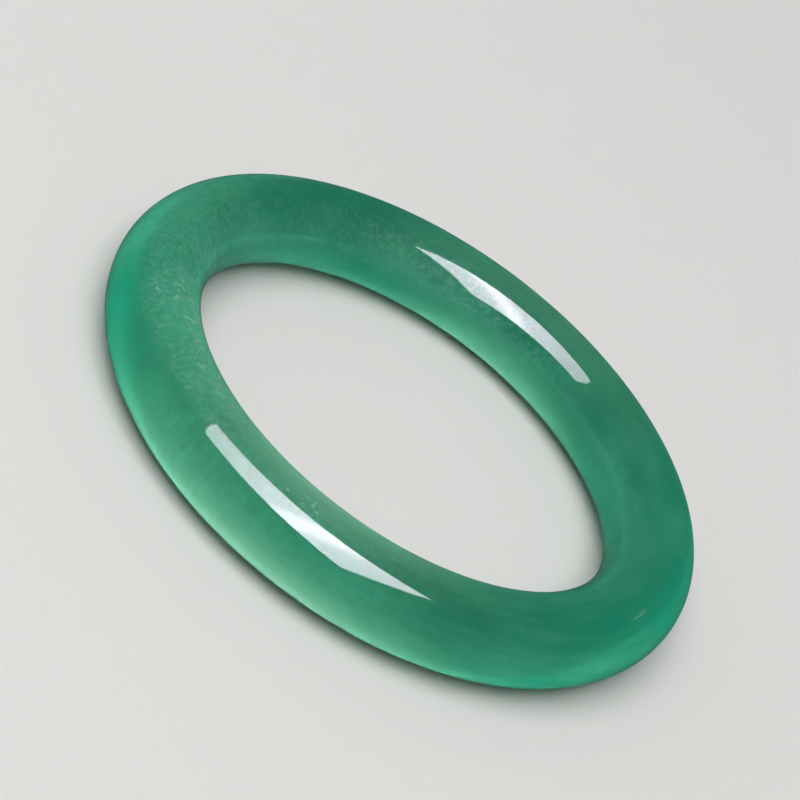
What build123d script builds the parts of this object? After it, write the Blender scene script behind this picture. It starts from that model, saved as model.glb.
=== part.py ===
"""Round-bar bangle: one closed ring, ground and polished from a single piece of jade.

The ring has no seam, hinge or clasp. It is worn by sliding it over the hand, so it is one solid. Its
section is a full circle, inside as well as outside, so the whole surface is a torus.

Frame: the origin is the centre of the ring, +Z is the ring's axis, and the ring lies flat on its side,
touching the table along one circle. Units are millimetres.
"""

import os

from build123d import *

# Driving dimensions.
OPENING_DIAMETER = 56.0  # narrowest width of the wrist opening, which is how bangles are sized
BAR_DIAMETER = 10.7  # thickness of the round bar

# Worked out from them.
BAR_RADIUS = BAR_DIAMETER / 2
CENTRELINE_RADIUS = OPENING_DIAMETER / 2 + BAR_RADIUS

PARTS_FOLDER = "parts"


def bangle_ring():
    """The whole bangle: the bar's round section, swept once round the ring's axis."""
    with BuildPart() as ring:
        with BuildSketch(Plane.XZ):
            with Locations((CENTRELINE_RADIUS, 0)):
                Circle(BAR_RADIUS)
        revolve(axis=Axis.Z)
    return ring.part


def main():
    os.makedirs(PARTS_FOLDER, exist_ok=True)
    export_step(bangle_ring(), os.path.join(PARTS_FOLDER, "bangle_ring.step"))


main()
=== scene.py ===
"""Looks for the round-bar jade bangle: the polished stone, a pale studio cove, soft light and the camera.

The ring lies flat in the frame, its axis along +Z and its centre at the origin. Units are metres.
Degrees round the ring count from +X. The camera is on the -Y side, so 270 is the near side of the ring,
180 the left and 90 the far side.
"""

import math

import bmesh
import bpy
from mathutils import Matrix, Vector, noise


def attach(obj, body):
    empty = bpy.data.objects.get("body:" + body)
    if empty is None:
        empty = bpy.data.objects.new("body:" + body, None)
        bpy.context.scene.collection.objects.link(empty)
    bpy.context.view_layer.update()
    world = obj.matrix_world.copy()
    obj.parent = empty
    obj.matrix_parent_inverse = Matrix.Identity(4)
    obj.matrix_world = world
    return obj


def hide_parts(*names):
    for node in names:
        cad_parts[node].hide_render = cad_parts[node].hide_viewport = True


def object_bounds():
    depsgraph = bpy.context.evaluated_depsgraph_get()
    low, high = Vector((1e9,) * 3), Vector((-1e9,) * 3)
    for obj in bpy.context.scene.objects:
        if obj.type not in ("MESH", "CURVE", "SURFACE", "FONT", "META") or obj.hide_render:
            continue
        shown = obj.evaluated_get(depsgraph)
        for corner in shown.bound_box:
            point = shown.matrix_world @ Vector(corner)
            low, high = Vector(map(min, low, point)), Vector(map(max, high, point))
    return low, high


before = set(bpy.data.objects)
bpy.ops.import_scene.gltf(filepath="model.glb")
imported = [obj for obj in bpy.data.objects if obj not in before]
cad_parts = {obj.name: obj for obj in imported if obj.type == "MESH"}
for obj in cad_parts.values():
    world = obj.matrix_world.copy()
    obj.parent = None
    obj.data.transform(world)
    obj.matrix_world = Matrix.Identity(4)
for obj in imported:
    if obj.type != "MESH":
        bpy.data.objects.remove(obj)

MM = 0.001

# The ring's sizes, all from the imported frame.
CAD_LOW, CAD_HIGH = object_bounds()
OUTER_RADIUS = (CAD_HIGH.x - CAD_LOW.x) / 2
BAR_RADIUS = (CAD_HIGH.z - CAD_LOW.z) / 2
LINE_RADIUS = OUTER_RADIUS - BAR_RADIUS
FLOOR_Z = CAD_LOW.z

# Mesh of the ring.
STEPS_ROUND_RING = 480
STEPS_ROUND_BAR = 128
POLISH_WAVE = 0.0015 * MM  # how far hand polishing leaves the surface from true
POLISH_WAVE_LENGTH = 12 * MM

# The stone's optics.
JADE_IOR = 1.66
POLISH_ROUGHNESS = (0.03, 0.055)
POLISH_BUMP = 0.004 * MM
POLISH_WEAR_PER_METRE = 0.25 / MM  # how finely duller and glossier areas alternate
POLISH_GRAIN_PER_METRE = 1.1 / MM
MILK_SHARE = 0.1  # how much of the light the milky grain turns back near the surface
COTTON_SHARE = 0.2  # how much more of it the thickest cotton turns back
MILK_DEPTH = 3 * MM
MILK_RADIUS = (0.5, 1.0, 0.8)
SCATTER_PER_METRE = 120
SCATTER_FORWARD = 0.85
ABSORB_PER_METRE = 200
PASSED_COLOUR = (0.755, 0.94, 0.923)
LAMP_LIGHT_LEAVING = (0.85, 0.97, 0.85)  # tint of lamp light that crosses the skin from inside the stone
LAMP_LIGHT_ENTERING = (0.42, 0.74, 0.6)  # and of lamp light that goes on to the floor

# Colours of the milky part.
DEEP_GREEN = (0.028, 0.235, 0.135)
PALE_GREEN = (0.085, 0.37, 0.245)
EMERALD = (0.006, 0.165, 0.085)
COTTON = (0.55, 0.84, 0.7)
SEEN_BY_FLOOR = (0.07, 0.32, 0.21)  # what the floor meets instead of the lit inside of the stone

# Tints that light takes on as it crosses the skin of the clear part. They are deep, so that the exported
# model's base colour looks like the stone, and the lamp inside the stone makes up for it.
CLEAR_PALE = (0.04, 0.31, 0.18)
# Painted glow: the paler tint towards the rim as seen, in place of light gathered by the bar.
CLEAR_PAINTED_GLOW = (0.42, 0.52, 0.36)
CLEAR_EMERALD = (0.0007, 0.19, 0.099)
CLEAR_COTTON = (0.2, 0.36, 0.32)

# Marks in the stone: how long they are round the ring, and how wide across the bar.
CLOUD_SIZE = (12 * MM, 5 * MM)
VEIN_SIZE = (18 * MM, 5 * MM)
SILK_SIZE = (12 * MM, 0.8 * MM)
HAZE_SIZE = (9 * MM, 3 * MM)
MOTTLE_SIZE = (1.3 * MM, 0.9 * MM)
FLECKS_PER_METRE = 1.4 / MM

# How deep under the polish they lie.
VEIN_DEPTH = 2 * MM
HAZE_DEPTH = 1.5 * MM
MOTTLE_DEPTH = 1 * MM
FLECK_DEPTH = 0.3 * MM

# Seeds that keep the patterns from lining up.
CLOUD_SEED = 3.1
VEIN_SEED = 11.7
SILK_SEED = 21.3
HAZE_SEED = 8.5
MOTTLE_SEED = 33.7

# Noise levels between which each kind of mark fades in.
CLOUD_EDGE = (0.3, 0.7)
VEIN_EDGE = (0.42, 0.78)
HAZE_EDGE = (0.28, 0.58)
MOTTLE_EDGE = (0.4, 0.68)
FLECK_EDGE = (0.46, 0.62)
WEAR_EDGE = (0.35, 0.65)

# Where marks gather: degrees round the ring, and how sharply they keep to that side.
LEAST_EMERALD = (262, 3.0)
PALE_SHOULDER = (157, 8.0)
DEEP_SHOULDER = (80, 8.0)
SILKY_SIDE = (312, 6.0)
LEFT_FLECKS = (221, 6.0)
NEAR_FLECKS = (270, 50.0)
FAR_FLECKS = (105, 14.0)
# Where the painted glow at the rim sits: it is painted light, not a mark of the stone.
NEAR_PAINTED_GLOW = (264, 24.0)
FAR_PAINTED_GLOW = (80, 20.0)

# Parts of the ring, as distances from its axis between which they start and end.
OUTER_HALF = (LINE_RADIUS - 2 * MM, LINE_RADIUS + 3 * MM)
OUTER_WALL = (LINE_RADIUS + 2 * MM, LINE_RADIUS + 4.5 * MM)
INNER_WALL = (LINE_RADIUS - 3.5 * MM, LINE_RADIUS - 1 * MM)
UPPER_SIDE = (-1 * MM, 2.5 * MM)  # the same, as heights

# How strong the marks are.
MORE_VEINS = 0.1
MORE_VEINS_OUTSIDE = 0.28
PALE_SHOULDER_STRENGTH = 0.45
DEEP_SHOULDER_STRENGTH = 0.25
SILK_STRENGTH = 0.3
HAZE_LEANS_INWARD = 0.12
MOTTLE_STRENGTH = 0.5
FLECK_STRENGTH = (0.18, 0.9)  # between the grains, and in them
FLECKS_WITHOUT_HAZE = 0.4
NEAR_FLECK_STRENGTH = 0.45
FAR_FLECK_STRENGTH = 0.6
# How strong the painted glow at the rim is.
NEAR_PAINTED_GLOW_STRENGTH = 1.6
FAR_PAINTED_GLOW_STRENGTH = 0.55
PAINTED_GLOW_FADE = (0.6, 0.95)  # how edge-on the skin is where the painted glow at the rim starts and ends fading out
PAINTED_GLOW_LEFT_AT_EDGE = 0.3
EMERALD_IN_MILK = 0.8
COTTON_IN_MILK = 0.8
COTTON_HIDES_DEPTH = 0.8  # how much of the milk's soft scattering the thickest cotton takes away

# How much cotton each pale mark holds.
HAZE_COTTON = 0.06
FLECK_COTTON = 0.7
CRACK_COTTON = 0.4

# The healed crack.
CRACK_TURN = math.radians(341.5)
CRACK_BAR_TURN = math.radians(60)
CRACK_DIRECTION = Vector((0.55, 0.8, 0.1)).normalized()
CRACK_STRENGTH = 0.6
CRACK_HALF_WIDTH = (0.02 * MM, 0.12 * MM)  # where it starts to fade sideways, and where it ends
CRACK_HALF_LENGTH = (0.6 * MM, 2.4 * MM)
CRACK_WANDER = 0.5 * MM

# Stage, light and camera.
FLOOR_COLOUR = (0.56, 0.555, 0.545)
WALL_COLOUR = (0.9, 0.895, 0.88)  # painted light: lighter than the floor, to make up for the less light that reaches it
COVE_PALE_FROM = 0.7  # how far out the floor starts to go over to the wall's colour
FLOOR_GRAIN_PER_METRE = 900
COVE_FLAT_RADIUS = 1.3
COVE_BEND_RADIUS = 1.0
COVE_WALL_HEIGHT = 3.0
COVE_BEND_STEPS = 24
COVE_STEPS_ROUND = 96
SOFTBOX_DISTANCE = 1.481
SOFTBOX_DIRECTION = Vector((-0.2245, -0.3307, 0.9166)).normalized()
SOFTBOX_LONG_AXIS = Vector((0.904, -0.209, -0.372)).normalized()
SOFTBOX_FACING = -Vector((0.217, -0.526, 0.822)).normalized()
SOFTBOX_LENGTH = 1.725
SOFTBOX_WIDTH = 1.08
SOFTBOX_MIRRORED = 8.0  # brightness of its face where the polish mirrors it
SOFTBOX_TINT = (0.96, 0.87, 1.0)
SOFTBOX_LAMP_AT = 0.67  # where along the face it is brightest, from 0 to 1
SOFTBOX_GLOW = (1.25, 0.78)  # brightness over its lamp, and far from it
SOFTBOX_GLOW_REACH = 0.6
SOFTBOX_HOT_SPOT = 0.6  # extra brightness right over the lamp
SOFTBOX_HOT_REACH = (0.03, 0.12)
SOFTBOX_SOFT_END = (0.475, 0.5)  # where its short ends fade out, from its middle
SOFTBOX_WATTS = 28
INNER_WATTS = 285  # of the extra lamp that lights only the inside of the stone
SKY_LIGHT = 0.25
SKY_LIGHT_BELOW = 0.02  # the share of it that comes from well below the horizon
SKY_FADE = (-0.15, 0.35)  # the height of view over which it fades
SURROUNDINGS_MIRRORED = 0.05  # what the polish mirrors all round, apart from the softbox
CAMERA_LENS = 140.4
CAMERA_PLACE = Vector((0, -9.283, 5.522)) * LINE_RADIUS
CAMERA_PITCH = math.radians(-30.54)
CAMERA_HEADING = math.radians(0.386)
CAMERA_ROLL = math.radians(36.92)


def add_object(name, data):
    made = bpy.data.objects.new(name, data)
    bpy.context.scene.collection.objects.link(made)
    return made


def mesh_object(name, bm):
    """An object from a bmesh, smooth shaded."""
    bmesh.ops.recalc_face_normals(bm, faces=bm.faces)
    mesh = bpy.data.meshes.new(name)
    bm.to_mesh(mesh)
    bm.free()
    mesh.shade_smooth()
    return add_object(name, mesh)


# ---------------------------------------------------------------- the ring


def polish_offset(point):
    """How far the surface stands from a true torus at this point, left by polishing on a wheel."""
    return POLISH_WAVE * noise.noise(point / POLISH_WAVE_LENGTH)


def ring_point(turn, bar_turn):
    """The point at an angle round the ring and an angle round the bar."""
    outward = Vector((math.cos(turn), math.sin(turn), 0))
    normal = outward * math.cos(bar_turn) + Vector((0, 0, math.sin(bar_turn)))
    true_point = outward * LINE_RADIUS + normal * BAR_RADIUS
    return true_point + normal * (polish_offset(true_point) - POLISH_WAVE)


def build_ring():
    bm = bmesh.new()
    loops = []
    for i in range(STEPS_ROUND_RING):
        turn = math.tau * i / STEPS_ROUND_RING
        points = [ring_point(turn, math.tau * j / STEPS_ROUND_BAR) for j in range(STEPS_ROUND_BAR)]
        loops.append([bm.verts.new(point) for point in points])
    for i, loop in enumerate(loops):
        following = loops[(i + 1) % STEPS_ROUND_RING]
        for j in range(STEPS_ROUND_BAR):
            k = (j + 1) % STEPS_ROUND_BAR
            bm.faces.new((loop[j], following[j], following[k], loop[k]))
    return mesh_object("jade_ring", bm)


# ---------------------------------------------------------------- node helpers


class Graph:
    """A material's or world's node tree, with short calls for the nodes used here."""

    def __init__(self, tree):
        self.tree = tree
        tree.nodes.clear()

    def node(self, kind, inputs=None, **settings):
        made = self.tree.nodes.new(kind)
        for name, value in settings.items():
            setattr(made, name, value)
        for name, value in (inputs or {}).items():
            self.feed(made.inputs[name], value)
        return made

    def feed(self, socket, value):
        if isinstance(value, bpy.types.NodeSocket):
            self.tree.links.new(value, socket)
        elif socket.type == "RGBA" and len(value) == 3:
            socket.default_value = (*value, 1)
        else:
            socket.default_value = value

    def math(self, operation, a, b=0.0, c=0.0, clamp=False):
        return self.node(
            "ShaderNodeMath", {0: a, 1: b, 2: c}, operation=operation, use_clamp=clamp
        ).outputs[0]

    def vector(self, operation, a, b=None, scale=None):
        inputs = {0: a}
        if b is not None:
            inputs[1] = b
        if scale is not None:
            inputs["Scale"] = scale
        return self.node("ShaderNodeVectorMath", inputs, operation=operation).outputs[0]

    def smooth(self, value, low, high, to_low=0.0, to_high=1.0):
        """A smooth step of value between low and high."""
        return self.node(
            "ShaderNodeMapRange",
            {"Value": value, "From Min": low, "From Max": high, "To Min": to_low, "To Max": to_high},
            interpolation_type="SMOOTHSTEP",
        ).outputs[0]

    def mix(self, share, a, b):
        """Colour a, going over to colour b as share goes to 1."""
        return self.node("ShaderNodeMix", {0: share, 6: a, 7: b}, data_type="RGBA").outputs[2]

    def mix_shader(self, share, a, b):
        return self.node("ShaderNodeMixShader", {0: share, 1: a, 2: b}).outputs[0]


def new_material(name):
    material = bpy.data.materials.new(name)
    material.use_nodes = True
    return material, Graph(material.node_tree)


# ---------------------------------------------------------------- the jade


def seen_inside(g, depth):
    """The point that the eye looks at, this deep under the polish, along the bent line of sight."""
    geometry = g.node("ShaderNodeNewGeometry")
    place = g.node("ShaderNodeTexCoord").outputs["Object"]
    line_of_sight = g.vector("SCALE", geometry.outputs["Incoming"], scale=-1.0)
    bent = g.vector("REFRACT", line_of_sight, geometry.outputs["Normal"], scale=1 / JADE_IOR)
    return g.vector("ADD", place, g.vector("SCALE", bent, scale=depth))


def round_the_ring(g, place):
    """(angle round the ring, distance from the axis, height) of a point."""
    x, y, z = g.node("ShaderNodeSeparateXYZ", {0: place}).outputs
    angle = g.math("ARCTAN2", y, x)
    out = g.math("SQRT", g.math("ADD", g.math("MULTIPLY", x, x), g.math("MULTIPLY", y, y)))
    return angle, out, z


def drawn_out_noise(g, place, size, seed, detail=3.0, roughness=0.55):
    """Noise whose marks have this (length round the ring, width across the bar), without a seam."""
    length, width = size
    angle, out, z = round_the_ring(g, place)
    reach = LINE_RADIUS / length
    x = g.math("MULTIPLY", g.math("COSINE", angle), reach)
    y = g.math("MULTIPLY", g.math("SINE", angle), reach)
    across = g.math("DIVIDE", g.math("SUBTRACT", out, LINE_RADIUS), width)
    up = g.math("MULTIPLY_ADD", z, 1 / width, seed)
    vector = g.node("ShaderNodeCombineXYZ", {0: x, 1: y, 2: across}).outputs[0]
    return g.node(
        "ShaderNodeTexNoise",
        {"Vector": vector, "W": up, "Scale": 1.0, "Detail": detail, "Roughness": roughness},
        noise_dimensions="4D",
    ).outputs["Fac"]


def plain_noise(g, place, per_metre, detail, roughness=0.5):
    """Noise that is alike in every direction."""
    return g.node(
        "ShaderNodeTexNoise",
        {"Vector": place, "Scale": per_metre, "Detail": detail, "Roughness": roughness},
    ).outputs[0]


def towards(g, angle, degrees, sharpness):
    """1 at this many degrees round the ring, falling to 0 on the opposite side."""
    off = g.math("COSINE", g.math("SUBTRACT", angle, math.radians(degrees)))
    return g.math("POWER", g.math("MULTIPLY_ADD", off, 0.5, 0.5), sharpness)


def emerald_veins(g, place, angle, outer_half):
    """Where the stone is deepest green: broad soft veins, mostly in the outer half of the ring."""
    green_side = g.math("SUBTRACT", 1.0, towards(g, angle, *LEAST_EMERALD))
    more = g.math("MULTIPLY_ADD", outer_half, MORE_VEINS_OUTSIDE, MORE_VEINS)
    pale_shoulder = g.math("MULTIPLY", towards(g, angle, *PALE_SHOULDER), outer_half)
    deep_shoulder = g.math("MULTIPLY", towards(g, angle, *DEEP_SHOULDER), outer_half)
    silky_side = g.math("MULTIPLY", towards(g, angle, *SILKY_SIDE), SILK_STRENGTH)
    silk = g.math("SUBTRACT", drawn_out_noise(g, place, SILK_SIZE, SILK_SEED), 0.5)

    veins = drawn_out_noise(g, place, VEIN_SIZE, VEIN_SEED, detail=2.0, roughness=0.5)
    veins = g.math("MULTIPLY_ADD", green_side, more, veins)
    veins = g.math("MULTIPLY_ADD", pale_shoulder, -PALE_SHOULDER_STRENGTH, veins)
    veins = g.math("MULTIPLY_ADD", deep_shoulder, DEEP_SHOULDER_STRENGTH, veins)
    return g.smooth(g.math("MULTIPLY_ADD", silk, silky_side, veins), *VEIN_EDGE)


def mottles(g, place):
    """The grain of the stone: fine faint green mottles."""
    grain = drawn_out_noise(g, place, MOTTLE_SIZE, MOTTLE_SEED, detail=4.0, roughness=0.7)
    return g.smooth(grain, *MOTTLE_EDGE, 0.0, MOTTLE_STRENGTH)


def cotton_haze(g, place, outer_half):
    """Soft pale drifts, mostly in the inner half of the ring."""
    drifts = drawn_out_noise(g, place, HAZE_SIZE, HAZE_SEED)
    return g.smooth(g.math("MULTIPLY_ADD", outer_half, -HAZE_LEANS_INWARD, drifts), *HAZE_EDGE)


def fleck_crowds(g, angle, out, z):
    """Where flecks crowd: at the left and a little on the near side, and in the far side's inner wall."""
    off_outer_wall = g.smooth(out, *OUTER_WALL, 1.0, 0.0)
    inner_wall = g.smooth(out, *INNER_WALL, FAR_FLECK_STRENGTH, 0.0)
    inner_wall = g.math("MULTIPLY", inner_wall, g.smooth(z, *UPPER_SIDE))
    thin = g.math("MULTIPLY", off_outer_wall, NEAR_FLECK_STRENGTH)
    left = g.math("MULTIPLY", towards(g, angle, *LEFT_FLECKS), off_outer_wall)
    near = g.math("MULTIPLY", towards(g, angle, *NEAR_FLECKS), thin)
    far = g.math("MULTIPLY", towards(g, angle, *FAR_FLECKS), inner_wall)
    return g.math("ADD", g.math("ADD", left, far), near)


def cotton_flecks(g, place, crowds, haze):
    """Fine pale grains, thicker where there is haze."""
    grains = plain_noise(g, place, FLECKS_PER_METRE, detail=3.0, roughness=0.8)
    grains = g.smooth(grains, *FLECK_EDGE, *FLECK_STRENGTH)
    thickness = g.math("MULTIPLY_ADD", haze, 1 - FLECKS_WITHOUT_HAZE, FLECKS_WITHOUT_HAZE)
    return g.math("MULTIPLY", grains, g.math("MULTIPLY", crowds, thickness))


def healed_crack(g, place):
    """One short pale line where an old crack in the stone has grown together again."""
    start = ring_point(CRACK_TURN, CRACK_BAR_TURN)
    across = CRACK_DIRECTION.cross(start.normalized()).normalized()
    offset = g.vector("SUBTRACT", place, start)
    wander = plain_noise(g, place, 1 / MM, detail=2.0)
    dot = g.node("ShaderNodeVectorMath", {0: offset, 1: across}, operation="DOT_PRODUCT")
    side = g.math("MULTIPLY_ADD", wander, CRACK_WANDER, dot.outputs["Value"])
    side = g.math("ABSOLUTE", side)
    reach = g.node("ShaderNodeVectorMath", {0: offset}, operation="LENGTH").outputs["Value"]
    line = g.smooth(side, *CRACK_HALF_WIDTH, CRACK_STRENGTH, 0.0)
    return g.math("MULTIPLY", line, g.smooth(reach, *CRACK_HALF_LENGTH, 1.0, 0.0))


def painted_rim_glow(g, angle, outer_half):
    """Painted light: how far the stone is painted paler towards its rim as seen, on the near side and
    inside the far side, in place of the glow that light gathered by the bar gives there.
    """
    edge_on = g.node("ShaderNodeLayerWeight", {"Blend": 0.5}).outputs["Facing"]
    near_side = g.math("MULTIPLY", towards(g, angle, *NEAR_PAINTED_GLOW), NEAR_PAINTED_GLOW_STRENGTH)
    inner = g.math("SUBTRACT", FAR_PAINTED_GLOW_STRENGTH, g.math("MULTIPLY", outer_half, FAR_PAINTED_GLOW_STRENGTH))
    far_side = g.math("MULTIPLY", towards(g, angle, *FAR_PAINTED_GLOW), inner)
    share = g.math("MULTIPLY", edge_on, g.math("ADD", near_side, far_side), clamp=True)
    return g.math("MULTIPLY", share, g.smooth(edge_on, *PAINTED_GLOW_FADE, 1.0, PAINTED_GLOW_LEFT_AT_EDGE))


def stone_marks(g):
    """The share, from 0 to 1, of each kind of mark at a point of the skin, and of the painted glow at its
    rim.
    """
    place = g.node("ShaderNodeTexCoord").outputs["Object"]
    angle, out, z = round_the_ring(g, place)
    outer_half = g.smooth(out, *OUTER_HALF)
    deep = seen_inside(g, VEIN_DEPTH)
    haze = cotton_haze(g, seen_inside(g, HAZE_DEPTH), outer_half)
    crowds = fleck_crowds(g, angle, out, z)
    return {
        "clouds": g.smooth(drawn_out_noise(g, deep, CLOUD_SIZE, CLOUD_SEED), *CLOUD_EDGE),
        "emerald": emerald_veins(g, deep, angle, outer_half),
        "mottles": mottles(g, seen_inside(g, MOTTLE_DEPTH)),
        "haze": haze,
        "flecks": cotton_flecks(g, seen_inside(g, FLECK_DEPTH), crowds, haze),
        "crack": healed_crack(g, place),
        # painted glow at the rim, not a mark of the stone
        "painted_glow": painted_rim_glow(g, angle, outer_half),
    }


def polish(g):
    """The glassy finish: duller and glossier areas, and the faint grain that the wheel left standing."""
    place = g.node("ShaderNodeTexCoord").outputs["Object"]
    wear = plain_noise(g, place, POLISH_WEAR_PER_METRE, detail=3.0)
    grain = plain_noise(g, place, POLISH_GRAIN_PER_METRE, detail=2.0)
    bump = g.node("ShaderNodeBump", {"Height": grain, "Strength": 1.0, "Distance": POLISH_BUMP})
    return {
        "IOR": JADE_IOR,
        "Roughness": g.smooth(wear, *WEAR_EDGE, *POLISH_ROUGHNESS),
        "Normal": bump.outputs[0],
    }


def milky_part(g, marks, cotton, surface):
    """The grain near the skin that turns light back."""
    colour = g.mix(marks["clouds"], DEEP_GREEN, PALE_GREEN)
    colour = g.mix(g.math("MULTIPLY", marks["emerald"], EMERALD_IN_MILK), colour, EMERALD)
    colour = g.mix(g.math("MULTIPLY", cotton, COTTON_IN_MILK), colour, COTTON)
    return g.node(
        "ShaderNodeBsdfPrincipled",
        {
            **surface,
            "Base Color": colour,
            "Subsurface Weight": g.math("MULTIPLY_ADD", cotton, -COTTON_HIDES_DEPTH, 1.0),
            "Subsurface Radius": MILK_RADIUS,
            "Subsurface Scale": MILK_DEPTH,
            "Subsurface Anisotropy": SCATTER_FORWARD,
        },
    ).outputs[0]


def clear_part(g, marks, surface):
    """The skin that lets light in and out of the stone, tinted by the marks under it, and painted paler at
    its rim as painted glow.
    """
    pale_marks = g.math("ADD", marks["flecks"], marks["crack"], clamp=True)
    colour = g.mix(marks["emerald"], CLEAR_PALE, CLEAR_EMERALD)
    colour = g.mix(marks["mottles"], colour, CLEAR_EMERALD)
    colour = g.mix(pale_marks, colour, CLEAR_COTTON)
    # Painted glow: paler towards the rim as seen.
    colour = g.mix(marks["painted_glow"], colour, CLEAR_PAINTED_GLOW)
    return g.node(
        "ShaderNodeBsdfPrincipled",
        {**surface, "Base Color": colour, "Transmission Weight": 1.0},
    ).outputs[0]


def stone_volume(g):
    """The body of the stone: it passes green light best and scatters mostly forwards."""
    scatter = g.node(
        "ShaderNodeVolumeScatter",
        {"Color": (1, 1, 1), "Density": SCATTER_PER_METRE, "Anisotropy": SCATTER_FORWARD},
    )
    absorb = g.node(
        "ShaderNodeVolumeAbsorption", {"Density": ABSORB_PER_METRE, "Color": PASSED_COLOUR}
    )
    return g.node("ShaderNodeAddShader", {0: scatter.outputs[0], 1: absorb.outputs[0]}).outputs[0]


def lamp_light_tint(g):
    """Lets a lamp's light straight through the skin, tinted, to the stone's inside and to the floor."""
    leaving = g.node("ShaderNodeNewGeometry").outputs["Backfacing"]
    tint = g.mix(leaving, LAMP_LIGHT_ENTERING, LAMP_LIGHT_LEAVING)
    return g.node("ShaderNodeBsdfTransparent", {"Color": tint}).outputs[0]


def jade_material():
    material, g = new_material("jade")
    marks = stone_marks(g)
    surface = polish(g)
    cotton = g.math("MULTIPLY", marks["flecks"], FLECK_COTTON)
    cotton = g.math("MULTIPLY_ADD", marks["haze"], HAZE_COTTON, cotton)
    cotton = g.math("MULTIPLY_ADD", marks["crack"], CRACK_COTTON, cotton, clamp=True)
    milk_share = g.math("MULTIPLY_ADD", cotton, COTTON_SHARE, MILK_SHARE)
    stone = g.mix_shader(milk_share, clear_part(g, marks, surface), milky_part(g, marks, cotton, surface))

    ray = g.node("ShaderNodeLightPath").outputs
    bounce = g.node("ShaderNodeBsdfDiffuse", {"Color": SEEN_BY_FLOOR}).outputs[0]
    stone = g.mix_shader(ray["Is Diffuse Ray"], stone, bounce)
    skin = g.mix_shader(ray["Is Shadow Ray"], stone, lamp_light_tint(g))
    g.node("ShaderNodeOutputMaterial", {"Surface": skin, "Volume": stone_volume(g)})
    return material


# ---------------------------------------------------------------- stage and light


def floor_material():
    """Matt paper, going over to the wall's colour far out: painted light, lighter where less light reaches.
    """
    material, g = new_material("floor")
    place = g.node("ShaderNodeTexCoord").outputs["Object"]
    out = round_the_ring(g, place)[1]
    # Painted light: the share of the lighter wall colour, growing far out where less light reaches.
    painted_light_share = g.smooth(out, COVE_PALE_FROM, COVE_FLAT_RADIUS)
    grain = plain_noise(g, place, FLOOR_GRAIN_PER_METRE, detail=2.0)
    bump = g.node("ShaderNodeBump", {"Height": grain, "Strength": 0.05, "Distance": 0.0002})
    paper = g.node(
        "ShaderNodeBsdfPrincipled",
        {
            "Base Color": g.mix(painted_light_share, FLOOR_COLOUR, WALL_COLOUR),
            "Roughness": 0.7,
            "Specular IOR Level": 0.2,
            "Normal": bump.outputs[0],
        },
    )
    g.node("ShaderNodeOutputMaterial", {"Surface": paper.outputs[0]})
    return material


def cove_profile():
    """(distance from the axis, height above the floor) along the floor, up the bend and up the wall."""
    profile = [(0.0, 0.0), (COVE_FLAT_RADIUS, 0.0)]
    for i in range(1, COVE_BEND_STEPS + 1):
        a = math.pi / 2 * i / COVE_BEND_STEPS
        profile.append(
            (COVE_FLAT_RADIUS + COVE_BEND_RADIUS * math.sin(a), COVE_BEND_RADIUS * (1 - math.cos(a)))
        )
    profile.append((COVE_FLAT_RADIUS + COVE_BEND_RADIUS, COVE_WALL_HEIGHT))
    return profile


def build_cove():
    """A pale floor that sweeps up into a wall all the way round. The stone neither mirrors nor shows it."""
    bm = bmesh.new()
    points = [bm.verts.new((r, 0, FLOOR_Z + h)) for r, h in cove_profile()]
    edges = [bm.edges.new(pair) for pair in zip(points, points[1:])]
    bmesh.ops.spin(
        bm,
        geom=points + edges,
        cent=(0, 0, 0),
        axis=(0, 0, 1),
        angle=math.tau,
        steps=COVE_STEPS_ROUND,
        use_merge=True,
    )
    bmesh.ops.remove_doubles(bm, verts=bm.verts, dist=1e-6)
    cove = mesh_object("cove", bm)
    cove.data.materials.append(floor_material())
    cove.visible_shadow = False
    cove.visible_glossy = False
    cove.visible_transmission = False
    cove.visible_volume_scatter = False


def softbox_matrix():
    facing = (SOFTBOX_FACING - SOFTBOX_LONG_AXIS * SOFTBOX_FACING.dot(SOFTBOX_LONG_AXIS)).normalized()
    back = -facing
    across = back.cross(SOFTBOX_LONG_AXIS)
    turned = Matrix((SOFTBOX_LONG_AXIS, across, back)).transposed().to_4x4()
    return Matrix.Translation(SOFTBOX_DIRECTION * SOFTBOX_DISTANCE) @ turned


def softbox_face_material():
    """The fabric front: brightest over its lamp, dimmer away from it, and soft at its short ends."""
    material, g = new_material("softbox_face")
    along = g.node(
        "ShaderNodeSeparateXYZ", {0: g.node("ShaderNodeTexCoord").outputs["UV"]}
    ).outputs["X"]
    from_lamp = g.math("ABSOLUTE", g.math("SUBTRACT", along, SOFTBOX_LAMP_AT))
    from_middle = g.math("ABSOLUTE", g.math("SUBTRACT", along, 0.5))
    glow = g.smooth(from_lamp, 0.0, SOFTBOX_GLOW_REACH, *SOFTBOX_GLOW)
    glow = g.math("ADD", glow, g.smooth(from_lamp, *SOFTBOX_HOT_REACH, SOFTBOX_HOT_SPOT, 0.0))
    glow = g.math("MULTIPLY", glow, g.smooth(from_middle, *SOFTBOX_SOFT_END, 1.0, 0.0))
    strength = g.math("MULTIPLY", glow, SOFTBOX_MIRRORED)
    light = g.node("ShaderNodeEmission", {"Color": SOFTBOX_TINT, "Strength": strength})
    g.node("ShaderNodeOutputMaterial", {"Surface": light.outputs[0]})
    return material


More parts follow.
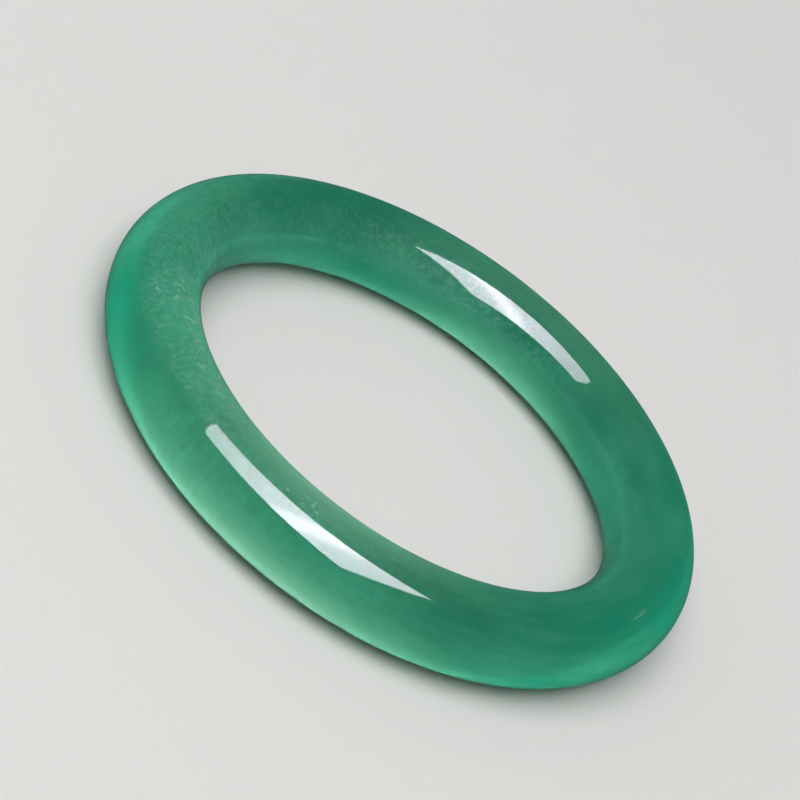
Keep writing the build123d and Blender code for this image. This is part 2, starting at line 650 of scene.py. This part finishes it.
def build_softbox_face():
    """The panel that the polish mirrors. It gives no other light: the lamps behind it do."""
    bm = bmesh.new()
    uv = bm.loops.layers.uv.new("UVMap")
    bmesh.ops.create_grid(bm, x_segments=1, y_segments=1, size=0.5)
    for face in bm.faces:
        for loop in face.loops:
            loop[uv].uv = (loop.vert.co.x + 0.5, loop.vert.co.y + 0.5)
    face = mesh_object("softbox_face", bm)
    face.matrix_world = softbox_matrix() @ Matrix.Diagonal((SOFTBOX_LENGTH, SOFTBOX_WIDTH, 1, 1))
    face.data.materials.append(softbox_face_material())
    face.visible_camera = False
    face.visible_diffuse = False
    face.visible_transmission = False
    face.visible_volume_scatter = False
    face.visible_shadow = False


def softbox_lamp(name, watts):
    """A lamp in the softbox's place. The polish doesn't mirror it, as it mirrors the face instead."""
    lamp = bpy.data.lights.new(name, "AREA")
    lamp.shape = "RECTANGLE"
    lamp.size = SOFTBOX_LENGTH
    lamp.size_y = SOFTBOX_WIDTH
    lamp.energy = watts
    made = add_object(name, lamp)
    made.matrix_world = softbox_matrix()
    made.visible_camera = False
    made.visible_glossy = False
    return made


def build_lights():
    """The softbox's face and lamp, and a strong extra lamp that lights only the inside of the stone."""
    build_softbox_face()
    softbox_lamp("softbox_light", SOFTBOX_WATTS).visible_volume_scatter = False
    inner = softbox_lamp("light_in_the_stone", INNER_WATTS)
    inner.visible_diffuse = False
    inner.visible_transmission = False


def build_sky():
    """Soft light from above that fades out towards the floor, and the dim surroundings in the polish."""
    sky = bpy.data.worlds.new("sky")
    sky.use_nodes = True
    bpy.context.scene.world = sky
    g = Graph(sky.node_tree)
    direction = g.node("ShaderNodeTexCoord").outputs["Generated"]
    height = g.node("ShaderNodeSeparateXYZ", {0: direction}).outputs["Z"]
    strength = g.smooth(height, *SKY_FADE, SKY_LIGHT_BELOW * SKY_LIGHT, SKY_LIGHT)
    light = g.node("ShaderNodeBackground", {"Color": (1, 1, 1), "Strength": strength}).outputs[0]
    mirror = g.node(
        "ShaderNodeBackground", {"Color": (1, 1, 1), "Strength": SURROUNDINGS_MIRRORED}
    ).outputs[0]
    ray = g.node("ShaderNodeLightPath").outputs
    is_mirrored = g.math("SUBTRACT", ray["Is Glossy Ray"], ray["Is Transmission Ray"], clamp=True)
    g.node("ShaderNodeOutputWorld", {"Surface": g.mix_shader(is_mirrored, light, mirror)})


def build_camera():
    """The photograph's view: its direction, distance and roll were fitted to the ring's two outlines."""
    camera = bpy.data.cameras.new("camera")
    camera.lens = CAMERA_LENS
    camera.clip_start = 0.01
    camera.clip_end = 20
    made = add_object("camera", camera)
    level = Matrix.Rotation(CAMERA_HEADING, 3, "Z") @ Matrix.Rotation(math.pi / 2 + CAMERA_PITCH, 3, "X")
    made.matrix_world = Matrix.Translation(CAMERA_PLACE) @ (
        level @ Matrix.Rotation(CAMERA_ROLL, 3, "Z")
    ).to_4x4()
    bpy.context.scene.camera = made


def set_cycles():
    """Plain colours, and enough bounces for light to wander about in the stone."""
    scene = bpy.context.scene
    scene.view_settings.view_transform = "Standard"
    scene.cycles.max_bounces = 32
    scene.cycles.transmission_bounces = 24
    scene.cycles.volume_bounces = 16
    scene.cycles.transparent_max_bounces = 16


ring = build_ring()
ring.data.materials.append(jade_material())
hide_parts("bangle_ring")
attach(ring, "root")
build_cove()
build_lights()
build_sky()
build_camera()
set_cycles()
